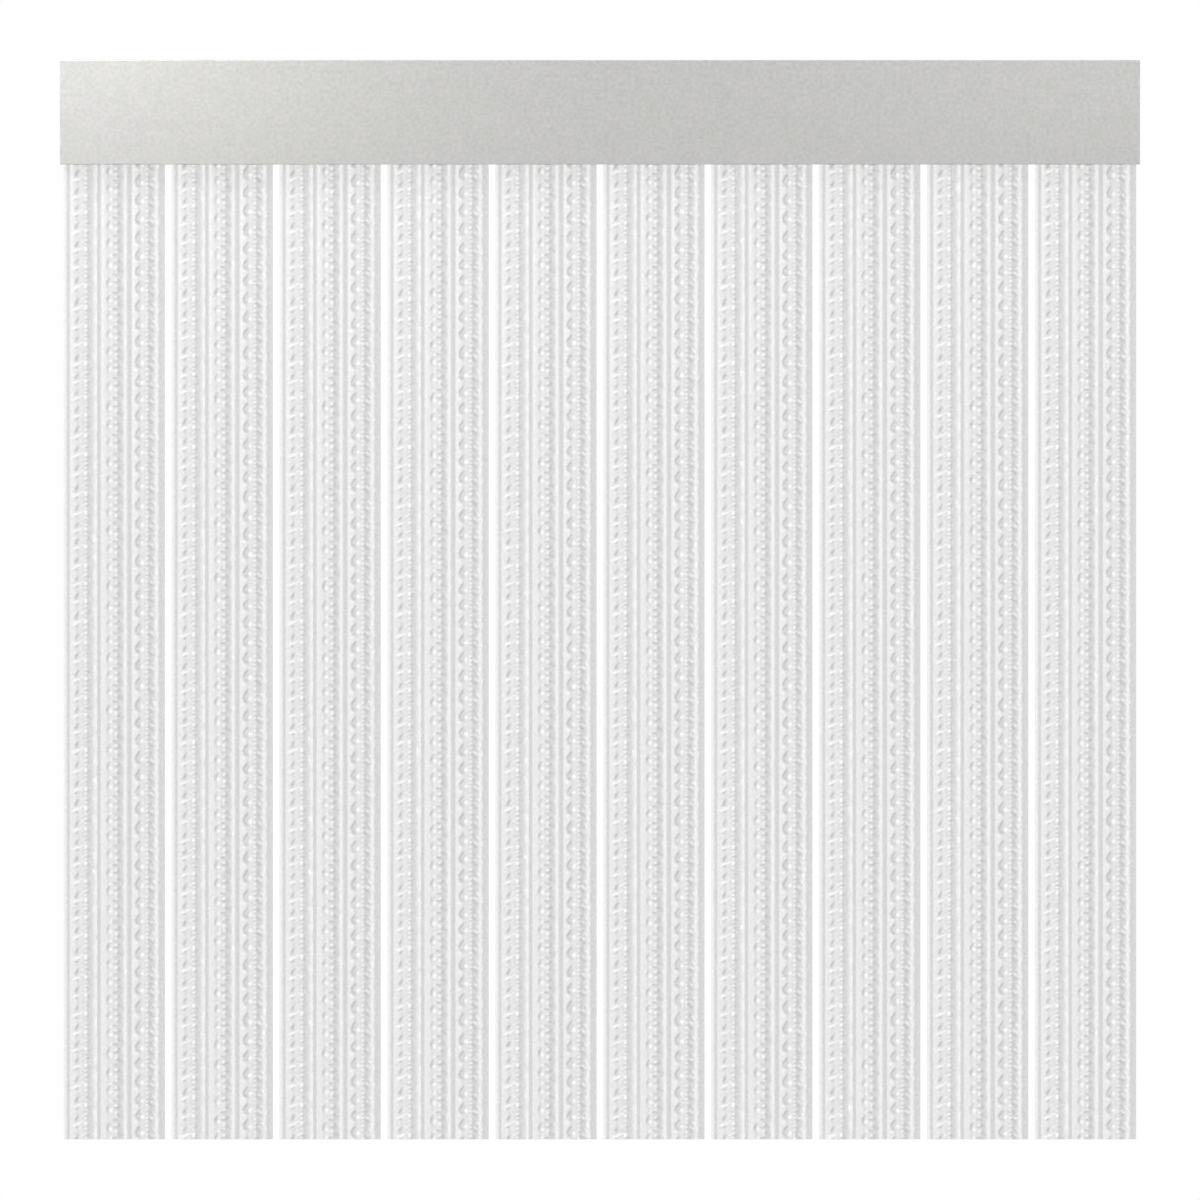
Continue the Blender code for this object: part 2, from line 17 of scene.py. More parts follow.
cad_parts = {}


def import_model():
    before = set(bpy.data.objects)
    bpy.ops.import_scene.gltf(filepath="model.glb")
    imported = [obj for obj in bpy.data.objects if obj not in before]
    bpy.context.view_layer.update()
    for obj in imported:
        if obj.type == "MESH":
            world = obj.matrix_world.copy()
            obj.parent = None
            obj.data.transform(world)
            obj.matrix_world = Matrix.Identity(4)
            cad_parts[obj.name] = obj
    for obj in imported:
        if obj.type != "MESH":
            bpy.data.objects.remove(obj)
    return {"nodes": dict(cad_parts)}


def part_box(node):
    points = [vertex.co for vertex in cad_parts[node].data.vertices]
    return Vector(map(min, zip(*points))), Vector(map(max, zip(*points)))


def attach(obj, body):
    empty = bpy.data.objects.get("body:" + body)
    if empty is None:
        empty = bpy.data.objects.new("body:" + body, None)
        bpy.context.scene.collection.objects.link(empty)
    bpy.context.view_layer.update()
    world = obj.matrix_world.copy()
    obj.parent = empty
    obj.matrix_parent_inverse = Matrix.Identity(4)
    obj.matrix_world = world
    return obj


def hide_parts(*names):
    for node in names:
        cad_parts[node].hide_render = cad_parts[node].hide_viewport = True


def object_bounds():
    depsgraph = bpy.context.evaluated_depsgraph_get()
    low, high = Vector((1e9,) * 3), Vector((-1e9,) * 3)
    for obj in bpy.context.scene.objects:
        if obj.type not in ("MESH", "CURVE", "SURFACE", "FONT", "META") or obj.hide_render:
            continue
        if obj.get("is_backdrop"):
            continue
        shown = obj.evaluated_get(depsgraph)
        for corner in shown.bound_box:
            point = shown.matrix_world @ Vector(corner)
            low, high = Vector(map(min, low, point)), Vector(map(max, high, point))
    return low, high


LOG = logging.getLogger("door_curtain")
MM = 0.001


class Face(Enum):
    """The two faces of a strip, by the way that each one looks along Y."""

    FRONT = -1
    BACK = 1


def linear(hex_colour: str) -> tuple[float, float, float, float]:
    """Turns an sRGB colour into the linear values that shaders take.

    Args:
        hex_colour: Six hex digits.

    Returns:
        Linear red, green and blue, and a full alpha.
    """
    shares = [int(hex_colour[i : i + 2], 16) / 255 for i in (0, 2, 4)]
    # The curve of the sRGB standard, straight near black
    red, green, blue = [s / 12.92 if s <= 0.04045 else ((s + 0.055) / 1.055) ** 2.4 for s in shares]
    return (red, green, blue, 1.0)


def add_node(
    tree: bpy.types.NodeTree,
    kind: str,
    settings: dict[str, Any] | None = None,
    values: dict[str | int, Any] | None = None,
    links: dict[str | int, bpy.types.NodeSocket] | None = None,
) -> bpy.types.Node:
    """Adds a shader node with its settings, its sockets' values and its incoming links.

    Args:
        tree: The node tree that gets the node.
        kind: The node's Blender type name.
        settings: Attributes of the node, set first, because they decide which sockets it has.
        values: Default values of input sockets, by name or number.
        links: Output sockets that feed input sockets, by name or number.

    Returns:
        The new node.
    """
    node = tree.nodes.new(kind)
    for name, value in (settings or {}).items():
        setattr(node, name, value)
    for name, value in (values or {}).items():
        node.inputs[name].default_value = value
    for name, socket in (links or {}).items():
        tree.links.new(socket, node.inputs[name])
    return node


def empty_material(name: str) -> tuple[bpy.types.Material, bpy.types.NodeTree, bpy.types.Node]:
    """Makes a material whose tree holds only its output.

    Args:
        name: The material's name.

    Returns:
        The material, its tree and its output node.
    """
    material = bpy.data.materials.new(name)
    material.use_nodes = True
    tree = material.node_tree
    tree.nodes.clear()
    return material, tree, tree.nodes.new("ShaderNodeOutputMaterial")


def rays_seen(tree: bpy.types.NodeTree) -> bpy.types.NodeSocket:
    """Adds the nodes that tell what is seen, straight, in a gloss or through clear plastic, from what lights.

    Args:
        tree: The node tree that gets the nodes.

    Returns:
        A socket that gives 1 to what is seen and 0 to what only lights a surface.
    """
    path = add_node(tree, "ShaderNodeLightPath")
    reflected = add_node(
        tree,
        "ShaderNodeMath",
        {"operation": "MAXIMUM"},
        links={0: path.outputs["Is Camera Ray"], 1: path.outputs["Is Glossy Ray"]},
    )
    seen = add_node(
        tree,
        "ShaderNodeMath",
        {"operation": "MAXIMUM"},
        links={0: reflected.outputs["Value"], 1: path.outputs["Is Transmission Ray"]},
    )
    return seen.outputs["Value"]


@dataclass(frozen=True)
class SatinAnodisedAluminium:
    """Aluminium, bead blasted and anodised: an even grey with a very fine grain and a soft, broad sheen.

    Attributes:
        name: The material's name.
        colour: The bright side of its grain.
        dark_grain: The dark side.
        roughness: The middle of its roughness.
        roughness_spread: How far the roughness varies with the grain.
        grain: Size of the blasted grain.
        cloud: Size of the soft clouds in the anodised layer.
        cloud_share: The clouds' share in the colour, beside the grain's.
        grain_depth: Depth of the grain.
        bump_strength: How strongly that depth turns the surface.
    """

    name: str = "satin_anodised_aluminium"
    colour: str = "c5c4c2"
    dark_grain: str = "a4a4a2"
    roughness: float = 0.42
    roughness_spread: float = 0.06
    # Real blasted grain is about 0.1 mm across. It is drawn much coarser, so that it shows.
    grain: float = 3.2 * MM
    cloud: float = 14 * MM
    cloud_share: float = 0.25
    grain_depth: float = 0.02 * MM
    bump_strength: float = 0.15

    def make(self) -> bpy.types.Material:
        """Builds the material: fine blasted grain over a soft cloudiness of the anodised layer.

        Returns:
            The material.
        """
        material, tree, output = empty_material(self.name)
        place = add_node(tree, "ShaderNodeTexCoord").outputs["Object"]
        grain = add_node(
            tree,
            "ShaderNodeTexNoise",
            values={"Scale": 1 / self.grain, "Detail": 1.0, "Roughness": 0.5},
            links={"Vector": place},
        )
        cloud = add_node(
            tree,
            "ShaderNodeTexNoise",
            values={"Scale": 1 / self.cloud, "Detail": 2.0, "Roughness": 0.5},
            links={"Vector": place},
        )
        mottle = add_node(
            tree,
            "ShaderNodeMix",
            values={"Factor": self.cloud_share},
            links={"A": grain.outputs["Fac"], "B": cloud.outputs["Fac"]},
        )
        colour = add_node(
            tree,
            "ShaderNodeMix",
            {"data_type": "RGBA"},
            {"A": linear(self.dark_grain), "B": linear(self.colour)},
            {"Factor": mottle.outputs["Result"]},
        )
        rough = add_node(
            tree,
            "ShaderNodeMapRange",
            values={
                "To Min": self.roughness - self.roughness_spread / 2,
                "To Max": self.roughness + self.roughness_spread / 2,
            },
            links={"Value": grain.outputs["Fac"]},
        )
        bump = add_node(
            tree,
            "ShaderNodeBump",
            values={"Strength": self.bump_strength, "Distance": self.grain_depth},
            links={"Height": grain.outputs["Fac"]},
        )
        shader = add_node(
            tree,
            "ShaderNodeBsdfPrincipled",
            values={"Metallic": 1.0},
            links={
                "Base Color": colour.outputs["Result"],
                "Roughness": rough.outputs["Result"],
                "Normal": bump.outputs["Normal"],
            },
        )
        tree.links.new(shader.outputs["BSDF"], output.inputs["Surface"])
        return material


@dataclass(frozen=True)
class MillFinishAluminium:
    """Aluminium as it leaves the extrusion press: bright, with fine die lines along its length.

    Attributes:
        name: The material's name.
        colour: Its colour between the die lines.
        dark_line: Its colour in them.
        roughness: Its roughness.
        die_line: Distance between the die lines.
        stretch_share: How much the pattern is slowed along X, which draws it out into lines.
        line_depth: Depth of the lines.
        bump_strength: How strongly that depth turns the surface.
    """

    name: str = "mill_finish_aluminium"
    colour: str = "c4c5c6"
    dark_line: str = "b2b3b5"
    roughness: float = 0.34
    # Real die lines are about 0.1 mm apart. They are drawn coarser, so that they show.
    die_line: float = 0.6 * MM
    stretch_share: float = 0.004
    line_depth: float = 0.02 * MM
    bump_strength: float = 0.2

    def make(self) -> bpy.types.Material:
        """Builds the material: noise drawn out along X makes the die lines.

        Returns:
            The material.
        """
        material, tree, output = empty_material(self.name)
        place = add_node(tree, "ShaderNodeTexCoord").outputs["Object"]
        drawn = add_node(
            tree,
            "ShaderNodeMapping",
            values={"Scale": (self.stretch_share, 1.0, 1.0)},
            links={"Vector": place},
        )
        lines = add_node(
            tree,
            "ShaderNodeTexNoise",
            values={"Scale": 1 / self.die_line, "Detail": 4.0, "Roughness": 0.7},
            links={"Vector": drawn.outputs["Vector"]},
        )
        colour = add_node(
            tree,
            "ShaderNodeMix",
            {"data_type": "RGBA"},
            {"A": linear(self.dark_line), "B": linear(self.colour)},
            {"Factor": lines.outputs["Fac"]},
        )
        bump = add_node(
            tree,
            "ShaderNodeBump",
            values={"Strength": self.bump_strength, "Distance": self.line_depth},
            links={"Height": lines.outputs["Fac"]},
        )
        shader = add_node(
            tree,
            "ShaderNodeBsdfPrincipled",
            values={"Metallic": 1.0, "Roughness": self.roughness},
            links={"Base Color": colour.outputs["Result"], "Normal": bump.outputs["Normal"]},
        )
        tree.links.new(shader.outputs["BSDF"], output.inputs["Surface"])
        return material


@dataclass(frozen=True)
class ClearSoftPvc:
    """Plasticised PVC, extruded and pressed between patterned rollers: clear, glossy and faintly milky.

    A point attribute holds painted light: painted highlights and painted shade that stand in for the light
    that the ribs reflect and bend, little in the flat webs, more along the cords and most where the marks
    are. A fine crinkle from the rollers breaks it up.

    Attributes:
        name: The material's name.
        dark: Its colour where no painted light is added.
        light: Its colour at the strongest painted highlights.
        clarity: The share of light that goes through it.
        roughness: Its roughness.
        refraction: Its index of refraction.
        crinkle: Size of the crinkle.
        crinkle_depth: Depth of the crinkle.
        crinkle_tone: How much the crinkle changes the tone, from its lowest to its highest places.
    """

    name: str = "clear_soft_pvc"
    dark: str = "c4c4c4"
    light: str = "ffffff"
    clarity: float = 0.94
    roughness: float = 0.03
    refraction: float = 1.53
    # The rollers leave marks of about 0.3 mm. They are drawn coarser, so that they show.
    crinkle: float = 1.9 * MM
    crinkle_depth: float = 0.012 * MM
    crinkle_tone: float = 0.75

    def make(self) -> bpy.types.Material:
        """Builds the material: clear plastic whose colour carries the painted highlights and shade of the
        attribute, with a fine crinkle in that colour and in the surface.

        Returns:
            The material.
        """
        material, tree, output = empty_material(self.name)
        place = add_node(tree, "ShaderNodeTexCoord").outputs["Object"]
        # Painted light: this attribute holds the ribs' painted highlights and painted shade
        tone = add_node(tree, "ShaderNodeAttribute", {"attribute_name": "tone"})
        crinkle = add_node(
            tree,
            "ShaderNodeTexNoise",
            values={"Scale": 1 / self.crinkle, "Detail": 2.0, "Roughness": 0.5},
            links={"Vector": place},
        )
        change = add_node(
            tree,
            "ShaderNodeMapRange",
            values={"To Min": -self.crinkle_tone / 2, "To Max": self.crinkle_tone / 2},
            links={"Value": crinkle.outputs["Fac"]},
        )
        whole = add_node(
            tree,
            "ShaderNodeMath",
            {"operation": "ADD", "use_clamp": True},
            links={0: tone.outputs["Fac"], 1: change.outputs["Result"]},
        )
        # The painted highlights and painted shade set the colour, from dark to white
        tint = add_node(
            tree,
            "ShaderNodeMix",
            {"data_type": "RGBA"},
            {"A": linear(self.dark), "B": linear(self.light)},
            {"Factor": whole.outputs["Value"]},
        )
        bump = add_node(
            tree,
            "ShaderNodeBump",
            values={"Strength": 1.0, "Distance": self.crinkle_depth},
            links={"Height": crinkle.outputs["Fac"]},
        )
        clear = add_node(
            tree,
            "ShaderNodeBsdfPrincipled",
            values={
                "Roughness": self.roughness,
                "IOR": self.refraction,
                "Transmission Weight": self.clarity,
            },
            links={"Base Color": tint.outputs["Result"], "Normal": bump.outputs["Normal"]},
        )
        tree.links.new(clear.outputs["BSDF"], output.inputs["Surface"])
        return material


@dataclass(frozen=True)
class CutPvcEnd:
    """Clear PVC where a hot blade went through it: frosted, whitish and dull.

    Attributes:
        name: The material's name.
        colour: Its colour.
        roughness: Its roughness.
        refraction: Its index of refraction.
        drag_mark: Distance between the marks that the blade dragged.
        stretch_share: How much the pattern is slowed along X, which draws it out into marks.
        mark_depth: Depth of the marks.
        bump_strength: How strongly that depth turns the surface.
    """

    name: str = "cut_pvc_end"
    colour: str = "f2f2f2"
    roughness: float = 0.6
    refraction: float = 1.53
    drag_mark: float = 0.5 * MM
    stretch_share: float = 0.1
    mark_depth: float = 0.05 * MM
    bump_strength: float = 0.3

    def make(self) -> bpy.types.Material:
        """Builds the material: a frosted white with the blade's fine drag marks along X.

        Returns:
            The material.
        """
        material, tree, output = empty_material(self.name)
        place = add_node(tree, "ShaderNodeTexCoord").outputs["Object"]
        drag = add_node(
            tree,
            "ShaderNodeMapping",
            values={"Scale": (self.stretch_share, 1.0, 1.0)},
            links={"Vector": place},
        )
        marks = add_node(
            tree,
            "ShaderNodeTexNoise",
            values={"Scale": 1 / self.drag_mark, "Detail": 2.0},
            links={"Vector": drag.outputs["Vector"]},
        )
        bump = add_node(
            tree,
            "ShaderNodeBump",
            values={"Strength": self.bump_strength, "Distance": self.mark_depth},
            links={"Height": marks.outputs["Fac"]},
        )
        shader = add_node(
            tree,
            "ShaderNodeBsdfPrincipled",
            values={
                "Base Color": linear(self.colour),
                "Roughness": self.roughness,
                "IOR": self.refraction,
            },
            links={"Normal": bump.outputs["Normal"]},
        )
        tree.links.new(shader.outputs["BSDF"], output.inputs["Surface"])
        return material


@dataclass(frozen=True)
class RigidWhitePvc:
    """Unplasticised PVC profile as extruded: white, evenly satin, with a faint texture.

    Attributes:
        name: The material's name.
        colour: Its colour.
        roughness: Its roughness.
        refraction: Its index of refraction.
        texture: Size of the texture.
        texture_depth: Depth of the texture.
        bump_strength: How strongly that depth turns the surface.
    """

    name: str = "rigid_white_pvc"
    colour: str = "e8e8e5"
    roughness: float = 0.45
    refraction: float = 1.54
    # The real texture is about 0.1 mm. It is drawn coarser, so that it shows.
    texture: float = 0.8 * MM
    texture_depth: float = 0.03 * MM
    bump_strength: float = 0.2

    def make(self) -> bpy.types.Material:
        """Builds the material: a plain white with a fine bump.

        Returns:
            The material.
        """
        material, tree, output = empty_material(self.name)
        place = add_node(tree, "ShaderNodeTexCoord").outputs["Object"]
        noise = add_node(
            tree,
            "ShaderNodeTexNoise",
            values={"Scale": 1 / self.texture, "Detail": 2.0},
            links={"Vector": place},
        )
        bump = add_node(
            tree,
            "ShaderNodeBump",
            values={"Strength": self.bump_strength, "Distance": self.texture_depth},
            links={"Height": noise.outputs["Fac"]},
        )
        shader = add_node(
            tree,
            "ShaderNodeBsdfPrincipled",
            values={
                "Base Color": linear(self.colour),
                "Roughness": self.roughness,
                "IOR": self.refraction,
            },
            links={"Normal": bump.outputs["Normal"]},
        )
        tree.links.new(shader.outputs["BSDF"], output.inputs["Surface"])
        return material


@dataclass(frozen=True)
class ZincPlatedSteel:
    """Cold headed steel with bright zinc plating: silvery and slightly cloudy.

    Attributes:
        name: The material's name.
        colour: Its colour.
        cloudy: Its colour where the zinc is cloudy.
        roughness: Its roughness.
        cloud: Size of the clouds.
    """

    name: str = "zinc_plated_steel"
    colour: str = "cfd0cd"
    cloudy: str = "b9bab8"
    roughness: float = 0.3
    cloud: float = 1.5 * MM

    def make(self) -> bpy.types.Material:
        """Builds the material: cloudy zinc over metal.

        Returns:
            The material.
        """
        material, tree, output = empty_material(self.name)
        place = add_node(tree, "ShaderNodeTexCoord").outputs["Object"]
        noise = add_node(
            tree,
            "ShaderNodeTexNoise",
            values={"Scale": 1 / self.cloud, "Detail": 3.0},
            links={"Vector": place},
        )
        colour = add_node(
            tree,
            "ShaderNodeMix",
            {"data_type": "RGBA"},
            {"A": linear(self.cloudy), "B": linear(self.colour)},
            {"Factor": noise.outputs["Fac"]},
        )
        shader = add_node(
            tree,
            "ShaderNodeBsdfPrincipled",
            values={"Metallic": 1.0, "Roughness": self.roughness},
            links={"Base Color": colour.outputs["Result"]},
        )
        tree.links.new(shader.outputs["BSDF"], output.inputs["Surface"])
        return material


@dataclass(frozen=True)
class StudioFloorPaint:
    """Matt floor paint: a plain pale floor that keeps shadows, as white as the surroundings far off.

    Attributes:
        name: The material's name.
        colour: The paint's colour.
        roughness: Its roughness.
        far_colour: The colour that is seen far off.
        fade_range: Distances from the floor's middle over which the paint turns to that colour.
    """

    name: str = "studio_floor_paint"
    colour: str = "fafafa"
    roughness: float = 0.9
    far_colour: str = "ffffff"
    fade_range: tuple[float, float] = (1.1, 3.0)

    def make(self) -> bpy.types.Material:
        """Builds the material: painted above, fading to plain white far off, and open from below.

        Returns:
            The material.
        """
        material, tree, output = empty_material(self.name)
        paint = add_node(
            tree,
            "ShaderNodeBsdfPrincipled",
            values={"Base Color": linear(self.colour), "Roughness": self.roughness},
        )
        white = add_node(
            tree,
            "ShaderNodeEmission",
            values={"Color": linear(self.far_colour), "Strength": 1.0},
        )
        place = add_node(tree, "ShaderNodeTexCoord").outputs["Object"]
        flat = add_node(
            tree,
            "ShaderNodeVectorMath",
            {"operation": "MULTIPLY"},
            {1: (1.0, 1.0, 0.0)},
            {0: place},
        )
        away = add_node(
            tree,
            "ShaderNodeVectorMath",
            {"operation": "LENGTH"},
            links={0: flat.outputs["Vector"]},
        )
        near_end, far_end = self.fade_range
        far = add_node(
            tree,
            "ShaderNodeMapRange",
            {"interpolation_type": "SMOOTHSTEP"},
            {"From Min": near_end, "From Max": far_end},
            {"Value": away.outputs["Value"]},
        )
        share = add_node(
            tree,
            "ShaderNodeMath",
            {"operation": "MULTIPLY"},
            links={0: far.outputs["Result"], 1: rays_seen(tree)},
        )
        above = add_node(
            tree,
            "ShaderNodeMixShader",
            links={0: share.outputs["Value"], 1: paint.outputs["BSDF"], 2: white.outputs["Emission"]},
        )
        from_below = add_node(tree, "ShaderNodeNewGeometry").outputs["Backfacing"]
        clear = add_node(tree, "ShaderNodeBsdfTransparent")
        whole = add_node(
            tree,
            "ShaderNodeMixShader",
            links={0: from_below, 1: above.outputs["Shader"], 2: clear.outputs["BSDF"]},
        )
        tree.links.new(whole.outputs["Shader"], output.inputs["Surface"])
        return material


def bell(distance: np.ndarray) -> np.ndarray:
    """A smooth hump: 1 at zero, and 0 from a distance of 1 on."""
    near = 1 - np.clip(np.abs(distance), 0, 1)
    return near * near * (3 - 2 * near)


@dataclass(frozen=True)
class PaintedGlint:
    """A painted highlight or painted shade for what a rib's inner reflections show, once in every repeat of
    its pattern.

    Attributes:
        place_share: Its middle across the rib, as a share of the half width.
        turn_share: Its middle along the rib, as a share of the repeat.
        half_width_share: Half its width, as a share of the half width.
        half_height_share: Half its height, as a share of the repeat.
        gain_share: How much brighter it is, negative where it's darker.
        lean_share: How far it leans to the right, as a share of the half width for a whole repeat.
        bow_share: How far both its ends curve to the right, in the same measure.
    """

    place_share: float
    turn_share: float
    half_width_share: float
    half_height_share: float
    gain_share: float
    lean_share: float = 0.0
    bow_share: float = 0.0

    def at(self, across: np.ndarray, turns: np.ndarray) -> np.ndarray:
        """Works out the painted mark.

        Args:
            across: Places across the rib, as shares of its half width.
            turns: Places down the rib, in repeats.

        Returns:
            How much brighter each place is.
        """
        # The distance down from the nearest repeat's mark, from -0.5 to 0.5
        down = (turns - self.turn_share + 0.5) % 1.0 - 0.5
        aside = across - self.place_share - self.lean_share * down - self.bow_share * down**2
        return self.gain_share * bell(aside / self.half_width_share) * bell(down / self.half_height_share)


@dataclass(frozen=True)
class RibLook:
    """One rib of a strip: where it stands, how its pattern runs, and its painted marks.

    Attributes:
        place: Its place, in rib pitches from the strip's middle.
        repeat: The length of its pattern's repeat.
        start: Where the pattern starts, in repeats.
        painted_glints: The painted highlight and painted shade marks in each repeat.
    """

    place: int
    repeat: float
    start: float
    painted_glints: tuple[PaintedGlint, ...]


# Painted highlights and shade: short slanting strokes on the cord, a chain of bright dots beside it, and a
# bright line at the right foot.
# Each mark gives its place, turn, half width, half height, gain, lean and bow.
LEFT_RIB = RibLook(
    place=-1,
    repeat=15.5 * MM,
    start=0.0,
    painted_glints=(
        PaintedGlint(-0.52, 0.39, 0.17, 0.26, -0.86, -0.70, 1.6),
        PaintedGlint(-0.55, 0.715, 0.28, 0.13, 1.20, -3.0),
        PaintedGlint(-0.52, 0.87, 0.18, 0.09, -0.57, -1.5),
        PaintedGlint(0.17, 0.65, 0.17, 0.17, 1.42),
        PaintedGlint(0.17, 0.92, 0.14, 0.08, 0.90),
        PaintedGlint(0.17, 0.15, 0.14, 0.08, 0.90),
        PaintedGlint(0.17, 0.38, 0.14, 0.08, 0.83),
        PaintedGlint(-0.05, 0.25, 0.12, 0.09, 0.45),
        PaintedGlint(-0.05, 0.55, 0.12, 0.09, 0.45),
        PaintedGlint(0.36, 0.78, 0.13, 0.09, -0.29),
        PaintedGlint(0.36, 0.27, 0.13, 0.09, -0.29),
        PaintedGlint(0.94, 0.20, 0.18, 1.20, 0.62),
        PaintedGlint(0.92, 0.30, 0.20, 0.32, 0.38),
        PaintedGlint(1.12, 0.55, 0.14, 0.30, 0.45),
    ),
)
# Painted highlights and shade: dark curved strokes at the left of round bright beads, and a bright line at
# the right foot
MIDDLE_RIB = RibLook(
    place=0,
    repeat=15.0 * MM,
    start=0.3,
    painted_glints=(
        PaintedGlint(-0.52, 0.75, 0.15, 0.40, -0.57, -0.3, 2.0),
        PaintedGlint(-0.28, 0.87, 0.20, 0.14, 1.12),
        PaintedGlint(-0.26, 0.38, 0.16, 0.12, 0.52),
        PaintedGlint(0.34, 0.67, 0.17, 0.15, -0.40),
        PaintedGlint(0.31, 0.11, 0.17, 0.15, -0.40),
        PaintedGlint(-0.03, 0.36, 0.32, 0.07, -0.52),
        PaintedGlint(0.06, 0.76, 0.30, 0.06, -0.40),
        PaintedGlint(0.12, 0.62, 0.15, 0.12, 0.90),
        PaintedGlint(0.12, 0.98, 0.15, 0.16, 0.90),
        PaintedGlint(0.14, 0.22, 0.15, 0.10, 0.60),
        PaintedGlint(0.80, 0.61, 0.18, 1.20, 0.55),
        PaintedGlint(0.80, 0.61, 0.22, 0.25, 0.60),
        PaintedGlint(0.60, 0.20, 0.20, 0.14, -0.23, 1.2),
    ),
)
# Painted highlights and shade: dark hooks round large bright beads, a chain of dots beside them, and slanting
# strokes at the right
RIGHT_RIB = RibLook(
    place=1,
    repeat=15.0 * MM,
    start=0.6,
    painted_glints=(
        PaintedGlint(-0.57, 0.40, 0.17, 0.26, -1.09, -0.90),
        PaintedGlint(-0.62, 0.78, 0.17, 0.18, -0.86, 0.90),
        PaintedGlint(-0.67, 0.60, 0.16, 0.14, -0.69),
        PaintedGlint(-0.42, 0.67, 0.13, 0.50, -0.29, 0.0, 1.8),
        PaintedGlint(0.285, 0.67, 0.13, 0.50, -0.21, 0.0, -1.8),
        PaintedGlint(-0.23, 0.67, 0.20, 0.15, 0.98),
        PaintedGlint(-0.78, 0.985, 0.24, 0.10, 0.52, 2.0),
        PaintedGlint(0.12, 0.46, 0.15, 0.09, 0.98),
        PaintedGlint(0.12, 0.72, 0.15, 0.09, 0.98),
        PaintedGlint(0.12, 0.95, 0.15, 0.09, 0.90),
        PaintedGlint(0.12, 0.20, 0.15, 0.09, 0.90),
        PaintedGlint(0.50, 0.47, 0.16, 0.28, -0.57, 0.95),
        PaintedGlint(0.43, 0.93, 0.18, 0.16, -0.63, 1.50),
        PaintedGlint(0.46, 0.735, 0.15, 0.14, 0.75, 1.7),
        PaintedGlint(0.72, 0.54, 0.17, 0.24, 1.12, 1.30),
        PaintedGlint(0.86, 0.54, 0.18, 1.20, 0.39),
        PaintedGlint(0.90, 0.80, 0.18, 0.20, 0.60, 0.6),
    ),
)


